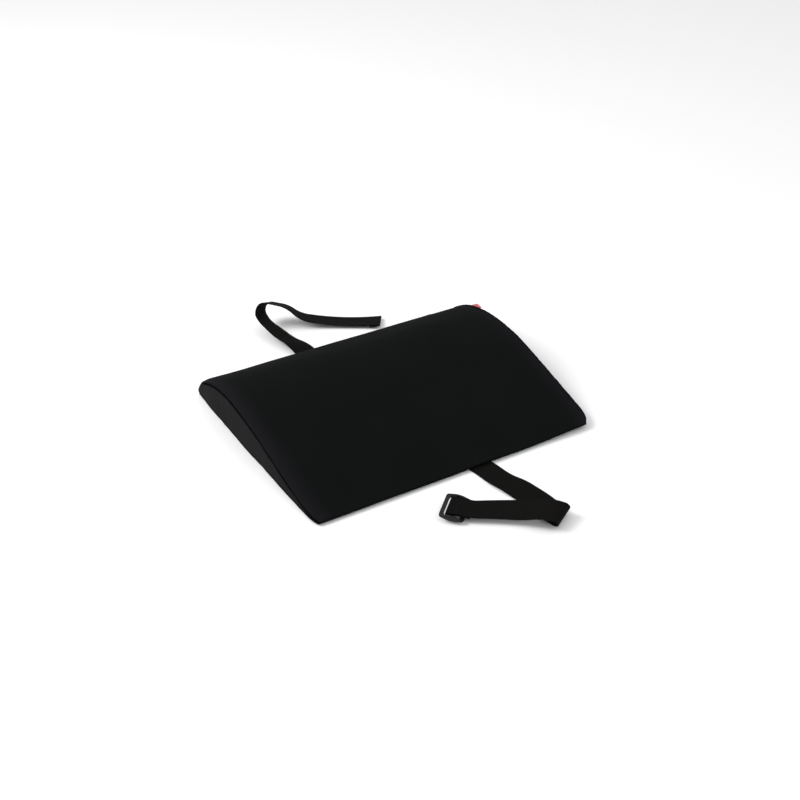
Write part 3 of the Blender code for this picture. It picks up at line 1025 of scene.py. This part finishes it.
    def back(self, strap_line: tuple[Vector, Vector]) -> bpy.types.Object:
        """The padded back panel, hollowed where the strap lies.

        Args:
            strap_line: two points on the middle of the strap.

        Returns:
            The piece.
        """
        origin, along = strap_line[0].xy, (strap_line[1] - strap_line[0]).xy.normalized()
        depth = self.rear_y - self.front_y
        points, flat = [], []
        for down in marks(depth, 2.6 * MM):
            y = self.front_y + down
            left, right = self.end_x(-1, y), self.end_x(1, y)
            line, place = [], []
            for distance in marks(2 * self.half_length, 2.6 * MM):
                x = left + (right - left) * distance / (2 * self.half_length)
                to_end = max(0.0, 1 - min(x - left, right - x) / (3.2 * MM))
                to_side = max(0.0, 1 - min(down, depth - down) / (3.2 * MM))
                near = min(math.hypot(to_end, to_side), 1.0)
                z = 1.4 * MM * (1 - math.sqrt(1 - near * near)) + self.lift(x, y)
                offset = Vector((x, y)) - origin
                from_strap = abs(offset.x * along.y - offset.y * along.x)
                z += 1.5 * MM * (1 - ease((from_strap - 15 * MM) / (3 * MM))) * (1 - 0.5 * near)
                z += 0.12 * MM * (1 + noise.noise(Vector((x * 60, y * 60, 1.5)))) * (1 - near)
                line.append(Vector((x, y, z)))
                place.append((x, y))
            points.append(line)
            flat.append(place)
        mesh = grid_slab(points, flat, self.back_cloth, Vector((0, 0, -1)))
        piece = install("cover_back", mesh, self.finishes.back, nodes=("back_panel",))
        return piece

    def foam(self) -> bpy.types.Object:
        """The foam wedge inside."""
        part = copy_of_node("foam_core", Matrix.Identity(4))
        mesh = soften([part], Matrix.Scale(0.972, 4, Vector((1, 0, 0))), 4 * MM, 3)
        piece = install("foam_wedge", mesh, self.finishes.foam, nodes=("foam_core",))
        return piece


# Thread -----------------------------------------------------------------------------------------


@dataclass
class Stitching:
    """A row of stitches, each a short bar of thread that dips into the cloth at both ends."""

    finishes: Finishes
    stitch: float = 2.6 * MM
    gap: float = 0.6 * MM
    radius: float = 0.26 * MM

    def pattern(self) -> bpy.types.Mesh:
        """One stitch along X, with its top towards Z."""
        deselect()
        bpy.ops.mesh.primitive_uv_sphere_add(segments=8, ring_count=6, radius=1)
        shape = bpy.context.object
        bpy.ops.object.mode_set(mode="EDIT")
        bpy.ops.transform.resize(value=(self.stitch / 2, self.radius, self.radius))
        bpy.ops.object.mode_set(mode="OBJECT")
        for vertex in shape.data.vertices:
            share = vertex.co.x / (self.stitch / 2)
            vertex.co.z -= self.radius * 1.1 * share**4
        return take_mesh(shape)

    def rows(
        self, name: str, runs: list[list[tuple[Vector, Vector]]], body: str, slot: str
    ) -> bpy.types.Object:
        """Sews along the runs.

        Args:
            name: the piece's name.
            runs: each a line of points on the cloth, with the cloth's outward direction.
            body: the CAD body that the thread rides on.
            slot: the material slot of the cloth; not used.

        Returns:
            The thread, as one piece.
        """
        pattern = self.pattern()
        bm = bmesh.new()
        for run in runs:
            line = Line([point for point, _ in run])
            ups = Line([point + up * MM for point, up in run])
            count = max(1, round(line.length / (self.stitch + self.gap)))
            for k in range(count):
                middle = line.length * (k + 0.5) / count
                half = self.stitch / 2
                along = (line.at(middle + half) - line.at(middle - half)).normalized()
                up = (ups.at(middle / line.length * ups.length) - line.at(middle)).normalized()
                across = up.cross(along).normalized()
                turn = Matrix((along, across, along.cross(across))).transposed().to_4x4()
                before = len(bm.verts)
                bm.from_mesh(pattern)
                bm.verts.ensure_lookup_table()
                move = Matrix.Translation(line.at(middle)) @ turn
                bmesh.ops.transform(bm, matrix=move, verts=bm.verts[before:])
        mesh = bpy.data.meshes.new(name)
        bm.to_mesh(mesh)
        bm.free()
        bpy.data.meshes.remove(pattern)
        return install(name, mesh, self.finishes.thread, body, sharp=80)


# Strap ------------------------------------------------------------------------------------------


@dataclass(frozen=True)
class Station:
    """A place on webbing as it lies: its middle and its axes, along, up and across, as columns."""

    centre: Vector
    turn: Matrix
    slant: float = 0.0


def slanted(stations: list[Station], reach: float) -> list[Station]:
    """The stations with each slant evened out over that distance to both sides."""
    line = Line([s.centre for s in stations])
    evened = []
    first = last = 0
    for i, station in enumerate(stations):
        while line.marks[i] - line.marks[first] > reach:
            first += 1
        while last + 1 < len(stations) and line.marks[last + 1] - line.marks[i] <= reach:
            last += 1
        total = weight = 0.0
        for k in range(first, last + 1):
            span = line.marks[min(k + 1, last)] - line.marks[max(k - 1, first)]
            share = (1 - abs(line.marks[k] - line.marks[i]) / reach) * span
            total += share * stations[k].slant
            weight += share
        evened.append(Station(station.centre, station.turn, total / weight if weight else 0.0))
    return evened


def lay(
    start: Vector, along: Vector, up: Vector, rows: list[tuple], step: float, angle: float
) -> list[Station]:
    """Webbing laid from start.

    Args:
        start: its middle there.
        along: the way it goes.
        up: the way its upper face looks.
        rows: (length in mm, bend, twist and steer in degrees) of each stretch.
        step: the longest distance between stations.
        angle: the largest turn between stations, in radians.

    Returns:
        The stations.
    """
    turn = Matrix((along, up, along.cross(up))).transposed()
    centre = start.copy()
    stations = [Station(centre, turn)]
    for length_mm, *turns in rows:
        bend, twist, steer = (math.radians(t) for t in turns)
        axis = Vector((twist, steer, bend))
        length = length_mm * MM
        steps = max(math.ceil(axis.length / angle), math.ceil(length / step))
        whole = Matrix.Rotation(axis.length / steps, 3, axis) if axis.length else Matrix.Identity(3)
        half = Matrix.Rotation(axis.length / steps / 2, 3, axis) if axis.length else Matrix.Identity(3)
        for _ in range(steps):
            centre = centre + (turn @ half).col[0] * (length / steps)
            turn = turn @ whole
            slant = turns[1] / turns[0] if FOLD_BEND < abs(turns[0]) < 170 else 0.0
            stations.append(Station(centre, turn, slant))
    return slanted(stations, FOLD_REACH)


def ribbon(stations: list[Station], width: float, thickness: float, columns: int) -> bpy.types.Mesh:
    """Webbing through the stations, with rounded edges.

    Args:
        stations: where it lies.
        width: its width.
        thickness: its thickness.
        columns: the faces across it.

    Returns:
        The closed mesh, with the flat webbing as its UV map.
    """
    half, deep = width / 2, thickness / 2
    edge = min(0.5 * MM, deep)
    flat = [-half + edge + (width - 2 * edge) * k / columns for k in range(columns + 1)]
    ring = [(a, deep) for a in flat]
    ring += [(half - edge * 0.3, deep * 0.7), (half, 0.0), (half - edge * 0.3, -deep * 0.7)]
    ring += [(a, -deep) for a in reversed(flat)]
    ring += [(-half + edge * 0.3, -deep * 0.7), (-half, 0.0), (-half + edge * 0.3, deep * 0.7)]
    bm = bmesh.new()
    uv = bm.loops.layers.uv.new(CLOTH_UV)
    place = {}
    loops = []
    travelled = 0.0
    last = stations[0].centre
    for station in stations:
        travelled += (station.centre - last).length
        last = station.centre
        made = []
        for across, up in ring:
            ruling = station.turn.col[2] + station.turn.col[0] * station.slant
            vertex = bm.verts.new(station.centre + ruling * across + station.turn.col[1] * up)
            place[vertex] = (across, travelled + across * station.slant)
            made.append(vertex)
        loops.append(made)
    count = len(ring)
    for one, following in zip(loops, loops[1:]):
        for k in range(count):
            bm.faces.new((one[k], one[k - 1], following[k - 1], following[k]))
    bm.faces.new(loops[0])
    bm.faces.new(list(reversed(loops[-1])))
    for face in bm.faces:
        for loop in face.loops:
            loop[uv].uv = place[loop.vert]
    bmesh.ops.recalc_face_normals(bm, faces=bm.faces)
    mesh = bpy.data.meshes.new("ribbon")
    bm.to_mesh(mesh)
    bm.free()
    return mesh


FOLD_BEND = 45.0
FOLD_REACH = 10 * MM

REAR_ARM = [
    (22, 16, 5, 5), (24, -16, 13, 0), (24, 12, 2, -1), (16, -2, 4, -1), (12, 7, 5, -1), (12, 15, 7, -1),
    (12, 53, 26, -1), (12, 75, 30, -1), (14, 2, 1, -1), (20, 27, 8, -1), (24, -31, 5, -1),
    (92, -17.2, 3, 6.5),
]
HEM = [(2.2, 180, 0, 0), (13.0, 0, 0, 0)]
FRONT_ARM = [
    (20, 3, 0, -6), (20, 2, 0, 10), (20, -6, 8, -2), (20, 5, 0, -5), (20, -5, 1, -5), (20, 5, -2, 11),
    (17, 148, 48, -3), (24, 37, 2, 4), (24, -18, 2, -9), (37, -3, 6, -6), (10, -9, 0, 14),
]
BUCKLE_LOOP = [
    (7.3, 0, 0, 0), (4.4, 24, 0, 0), (4.4, -24, 0, 0), (1.3, 0, 0, 0), (7.23, 180, 0, 0),
    (1.5, 0, 0, 0), (2.0, 38, 0, 0), (5.0, 0, 0, 0), (2.6, -38, 0, 0), (13.3, 0, 0, 0),
]


@dataclass
class Strap:
    """One length of elastic webbing under the cushion, with its hem, loop and stitches."""

    finishes: Finishes
    width: float = 29 * MM
    thickness: float = 1.3 * MM
    rear: Vector = field(default_factory=lambda: Vector((-0.0223, 0.1512, 0.00065)))
    front: Vector = field(default_factory=lambda: Vector((0.0234, -0.1508, 0.00065)))
    step: float = 1.6 * MM
    angle: float = math.radians(5)
    loop_radius: float = 2.3 * MM
    bar_to_tail: float = 22.5 * MM
    rear_stations: list[Station] = field(init=False)
    front_stations: list[Station] = field(init=False)
    cut_length: float = field(init=False)

    def __post_init__(self) -> None:
        """Lays both arms."""
        rearward = (self.rear - self.front).normalized()
        up = Vector((0, 0, 1))
        self.rear_stations = lay(self.rear, rearward, up, REAR_ARM + HEM, self.step, self.angle)
        self.front_stations = lay(self.front, -rearward, up, FRONT_ARM + BUCKLE_LOOP, self.step, self.angle)

    def buckle_place(self) -> Matrix:
        """The axes of the buckle's middle bar: X outward, Y along it, Z up."""
        tail = self.front_stations[-1]
        outward, up = -tail.turn.col[0], tail.turn.col[1]
        middle = tail.centre + outward * self.bar_to_tail - up * self.loop_radius
        turn = Matrix((outward, up.cross(outward), up)).transposed()
        return Matrix.Translation(middle) @ turn.to_4x4()

    def build(self) -> bpy.types.Object:
        """The webbing."""
        turned = []
        for station in reversed(self.rear_stations):
            turn = Matrix((-station.turn.col[0], station.turn.col[1], -station.turn.col[2])).transposed()
            turned.append(Station(station.centre, turn, station.slant))
        under = []
        count = 60
        for k in range(1, count):
            under.append(Station(self.rear.lerp(self.front, k / count), turned[-1].turn))
        route = turned + under + self.front_stations
        self.cut_length = sum((b.centre - a.centre).length for a, b in zip(route, route[1:]))
        LOG.info("strap cut %.1f mm long", self.cut_length / MM)
        mesh = ribbon(route, self.width, self.thickness, 14)
        return install("strap", mesh, self.finishes.webbing, nodes=("strap_webbing",))

    def across_row(self, stations: list[Station], from_end: float, side: int, margin: float) -> list[tuple]:
        """A line of stitches across the webbing.

        Args:
            stations: the arm.
            from_end: the distance from the arm's end.
            side: 1 for the upper face and -1 for the lower.
            margin: how far it stays from the webbing's edges.

        Returns:
            Its points with the outward direction.
        """
        line = Line([s.centre for s in stations])
        wanted = line.length - from_end
        station = min(zip(line.marks, stations), key=lambda pair: abs(pair[0] - wanted))[1]
        reach = self.width / 2 - margin
        up = station.turn.col[1] * side
        base = station.centre + up * (self.thickness / 2)
        return [(base + station.turn.col[2] * a, up) for a in (-reach, 0.0, reach)]

    def stitches(self, sewing: Stitching) -> list[bpy.types.Object]:
        """The thread of the hem, of the buckle's loop and of the anchor under the cushion."""
        hem = [self.across_row(self.rear_stations, d * MM, 1, 1.2 * MM) for d in (2.5, 9.0)]
        far = [self.across_row(self.rear_stations, (28.2 - d) * MM, 1, 1.2 * MM) for d in (2.5, 9.0)]
        loop = [self.across_row(self.front_stations, d * MM, 1, 1.2 * MM) for d in (2.0, 6.0)]
        run = sum(row[0] for row in BUCKLE_LOOP)
        near = [self.across_row(self.front_stations, (run + 0.6 - d) * MM, 1, 1.2 * MM) for d in (-1.0, 3.0)]
        along = (self.rear - self.front).normalized()
        across = Vector((0, 0, -1)).cross(along)
        middle = (self.rear + self.front) / 2
        corners = [(-14, -11), (14, -11), (14, 11), (-14, 11)]
        seams = [(0, 1), (1, 2), (2, 3), (3, 0), (0, 2), (1, 3)]
        box = []
        for (a, b), (c, d) in ((corners[i], corners[j]) for i, j in seams):
            ends = [middle + along * p * MM + across * q * MM for p, q in ((a, b), (c, d))]
            down = Vector((0, 0, -1))
            box.append([(e + down * (self.thickness / 2 - 0.1 * MM), down) for e in ends])
        return [
            sewing.rows("hem_stitches", hem + far, ROOT, "webbing"),
            sewing.rows("loop_stitches", loop + near, ROOT, "webbing"),
            sewing.rows("anchor_stitches", box, ROOT, "webbing"),
        ]


@dataclass
class Tab:
    """The small folded tab in the end seam."""

    finishes: Finishes
    width: float = 10 * MM
    thickness: float = 0.5 * MM

    def build(self) -> bpy.types.Object:
        """The tab, folded double."""
        low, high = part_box("red_tab")
        start = Vector((low.x - 1.2 * MM, (low.y + high.y) / 2, low.z + 0.3 * MM))
        reach = (high.x - low.x) / MM
        rows = [(reach * 0.6, -6, 2, 1), (reach * 0.45, 8, 2, 0), (1.0, 180, 0, 0), (reach * 0.5, -8, 0, 0)]
        rows.append((reach * 0.55, 5, 0, 0))
        stations = lay(start, Vector((1, 0, 0)), Vector((0, 0, 1)), rows, 0.5 * MM, math.radians(20))
        mesh = ribbon(stations, self.width, self.thickness, 8)
        piece = install("side_tab", mesh, self.finishes.tab, nodes=("red_tab",))
        return piece


# Buckle -----------------------------------------------------------------------------------------


@dataclass
class Buckle:
    """The three-bar slide buckle, moulded in one."""

    finishes: Finishes
    grain: float = 0.3 * MM

    def build(self, place: Matrix) -> bpy.types.Object:
        """The buckle, with its middle bar thickened where it meets the rails.

        Args:
            place: the axes of its middle bar.

        Returns:
            The piece.
        """
        parts = [copy_of_node("slide_buckle", place)]
        for side in (-1, 1):
            low = Vector((-1.7 * MM, side * 16.4 * MM - 1.2 * MM, -1.5 * MM))
            high = Vector((1.7 * MM, side * 16.4 * MM + 1.2 * MM, 1.5 * MM))
            parts.append(rounded_box(low, high, 0.4 * MM))
        mesh = soften(parts, place, self.grain, 3)
        return install(
            "buckle_frame", mesh, self.finishes.plastic, BUCKLE, ("slide_buckle",), 60
        )


# Zip --------------------------------------------------------------------------------------------


@dataclass
class Zip:
    """The zip in the rear slope: tapes, coils, end stops, slider and pull."""

    finishes: Finishes
    length: float = 0.300
    pitch: float = 1.4 * MM
    place: Matrix = field(init=False)

    def __post_init__(self) -> None:
        """Finds the zip's axes: X along it, Y down the slope, Z out of the cover."""
        down = Vector((0, 0.61053, -0.79199))
        lengthwise = Vector((1, 0, 0))
        turn = Matrix((lengthwise, down, lengthwise.cross(down))).transposed()
        self.place = Matrix.Translation(Vector((0, 0.14415, 0.0148))) @ turn.to_4x4()

    def tape(self, side: int, name: str, node: str) -> bpy.types.Object:
        """One woven tape."""
        low, high = sorted((side * 0.55 * MM, side * 7.6 * MM))
        half = self.length / 2 + 8 * MM
        points, flat = [], []
        count = 158
        for i in range(count + 1):
            x = -half + 2 * half * i / count
            line, where = [], []
            for k in range(7):
                y = low + (high - low) * k / 6
                wave = 0.08 * MM * noise.noise(Vector((x * 90, y * 200, side)))
                line.append(self.place @ Vector((x, y, -2.1 * MM + min(wave, 0.0))))
                where.append((y, x))
            points.append(line)
            flat.append(where)
        mesh = grid_slab(points, flat, 0.5 * MM, self.place.col[2].xyz)
        return install(name, mesh, self.finishes.tape, nodes=(node,))

    def coil(self, side: int, name: str, node: str) -> bpy.types.Object:
        """One row of the coil: a turn of nylon wire, repeated."""
        deselect()
        bpy.ops.mesh.primitive_torus_add(
            major_segments=12, minor_segments=5, major_radius=0.72 * MM, minor_radius=0.3 * MM,
            rotation=(0, math.radians(90), math.radians(14 * side)),
        )
        turn = bpy.context.object
        bpy.ops.object.transform_apply(location=False, rotation=True, scale=False)
        bpy.ops.object.mode_set(mode="EDIT")
        bpy.ops.mesh.select_all(action="SELECT")
        bpy.ops.transform.resize(value=(1.0, 1.12, 0.94))
        phase = self.pitch / 2 if side > 0 else 0
        shift = Vector((-self.length / 2 + 0.8 * MM + phase, side * 1.66 * MM, -0.8 * MM))
        bpy.ops.transform.translate(value=shift)
        bpy.ops.object.mode_set(mode="OBJECT")
        repeat = turn.modifiers.new("repeat", "ARRAY")
        repeat.use_relative_offset = False
        repeat.use_constant_offset = True
        repeat.constant_offset_displace = (self.pitch, 0, 0)
        repeat.count = int((self.length - 2 * MM) / self.pitch)
        bpy.ops.object.modifier_apply(modifier="repeat")
        turn.data.transform(self.place)
        return install(name, take_mesh(turn), self.finishes.coil, nodes=(node,), sharp=80)

    def stop(self, name: str, node: str) -> bpy.types.Object:
        """An end stop, a staple pinched in its middle."""
        inverse = self.place.inverted()
        low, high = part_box(node)
        middle = inverse @ ((low + high) / 2)
        parts = []
        for offset in (-0.95, 0.95):
            spot = middle + Vector((offset * MM, 0, 0))
            size = Vector((0.5, 2.6, 0.85)) * MM
            parts.append(rounded_box(spot - size, spot + size, 0.25 * MM))
        size = Vector((1.0, 2.2, 0.6)) * MM
        parts.append(rounded_box(middle - size, middle + size, 0.2 * MM))
        mesh = soften(parts, self.place, 0.15 * MM, 2)
        return install(name, mesh, self.finishes.metal, nodes=(node,), sharp=60)

    def slider(self) -> list[bpy.types.Object]:
        """The slider and its pull."""
        body = soften([copy_of_node("zip_slider", self.place)], self.place, 0.16 * MM, 2)
        tab = soften([copy_of_node("zip_pull", self.place)], self.place, 0.16 * MM, 2)
        metal = self.finishes.metal
        return [
            install("zip_slider_body", body, metal, SLIDER, ("zip_slider",), 60),
            install("zip_pull_tab", tab, metal, PULL, ("zip_pull",), 60),
        ]

    def stitches(self, cover: Cover, sewing: Stitching) -> bpy.types.Object:
        """The two rows that sew the tapes in."""
        runs = []
        for lip, swell in ((cover.upper_lip - 2.2 * MM, 0.3 * MM), (cover.lower_lip + 2.2 * MM, 0.0)):
            run = []
            for k in range(80):
                share = 0.5 + (k / 79 - 0.5) * 0.9
                spot = cover.surface(share, lip, swell)
                outward = cover.line.outward(lip)
                up = Vector((0, outward.x, outward.y))
                run.append((spot + up * 0.05 * MM, up))
            runs.append(run)
        return sewing.rows("zip_stitches", runs, ROOT, "cover_fabric")

    def build(self) -> None:
        """Every piece of the zip."""
        self.tape(-1, "tape_upper", "zip_tape_upper")
        self.tape(1, "tape_lower", "zip_tape_lower")
        self.coil(-1, "coil_upper", "zip_coil_upper")
        self.coil(1, "coil_lower", "zip_coil_lower")
        self.stop("stop_top", "zip_top_stop")
        self.stop("stop_bottom", "zip_bottom_stop")
        self.slider()


# Studio -----------------------------------------------------------------------------------------


@dataclass(frozen=True)
class Studio:
    """Floor, lights and camera."""

    camera_place: tuple[float, float, float] = (-0.6077, -1.0153, 0.7570)
    looks_at: tuple[float, float, float] = (0.0191, 0.0115, 0.0)
    lens: float = 54.0
    shift_x: float = -0.000625

    def floor(self) -> None:
        """A plain pale floor."""
        deselect()
        bpy.ops.mesh.primitive_plane_add(size=12, location=(0, 0, -0.3 * MM))
        plane = bpy.context.object
        plane.name = "floor"
        paint = Palette("floor")
        paint.set(Base_Color=(0.93, 0.93, 0.94, 1.0), Roughness=0.9, Specular_IOR_Level=0.1)
        plane.data.materials.append(paint.material)

    def lamp(self, name: str, place: tuple, aim: tuple, size: float, power: float, colour: tuple) -> None:
        """A soft square lamp.

        Args:
            name: its name.
            place: where it hangs.
            aim: the point that it faces.
            size: the length of its side.
            power: its power in watts.
            colour: its colour.
        """
        light = bpy.data.lights.new(name, "AREA")
        light.size = size
        light.energy = power
        light.color = colour
        lamp = bpy.data.objects.new(name, light)
        lamp.location = place
        lamp.rotation_euler = (Vector(aim) - Vector(place)).to_track_quat("-Z", "Y").to_euler()
        bpy.context.scene.collection.objects.link(lamp)

    def camera(self) -> None:
        """The camera."""
        data = bpy.data.cameras.new("camera")
        data.lens = self.lens
        data.sensor_width = 36.0
        data.shift_x = self.shift_x
        data.clip_end = 50.0
        camera = bpy.data.objects.new("camera", data)
        camera.location = self.camera_place
        aim = Vector(self.looks_at) - Vector(self.camera_place)
        camera.rotation_euler = aim.to_track_quat("-Z", "Y").to_euler()
        bpy.context.scene.collection.objects.link(camera)
        bpy.context.scene.camera = camera

    def build(self) -> None:
        """Everything round the object."""
        self.floor()
        world = bpy.data.worlds.new("studio")
        world.use_nodes = True
        world.node_tree.nodes["Background"].inputs[0].default_value = (1.0, 1.0, 1.0, 1.0)
        world.node_tree.nodes["Background"].inputs[1].default_value = 0.82
        bpy.context.scene.world = world
        bpy.context.scene.view_settings.view_transform = "Standard"
        self.lamp("key", (-1.5, 0.8, 1.5), (0, 0, 0), 1.0, 34, (1.0, 0.99, 0.97))
        self.lamp("fill", (0.9, -1.6, 1.2), (0, 0, 0), 1.8, 5, (1.0, 0.99, 0.98))
        self.camera()


def main() -> None:
    """Builds the studio and every sub-assembly in order."""
    logging.basicConfig(level=logging.INFO, format="%(message)s")
    Studio().build()
    finishes = Finishes()
    sewing = Stitching(finishes)
    strap = Strap(finishes)
    cover = Cover(finishes)
    cover.foam()
    cover.top()
    cover.strip()
    cover.gusset(-1, "cover_end_left", "end_gusset_left")
    cover.gusset(1, "cover_end_right", "end_gusset_right")
    cover.back((strap.front, strap.rear))
    chain = Zip(finishes)
    chain.build()
    chain.stitches(cover, sewing)
    webbing = strap.build()
    threads = strap.stitches(sewing)
    Tab(finishes).build()
    Buckle(finishes).build(strap.buckle_place())


if __name__ == "__main__":
    main()
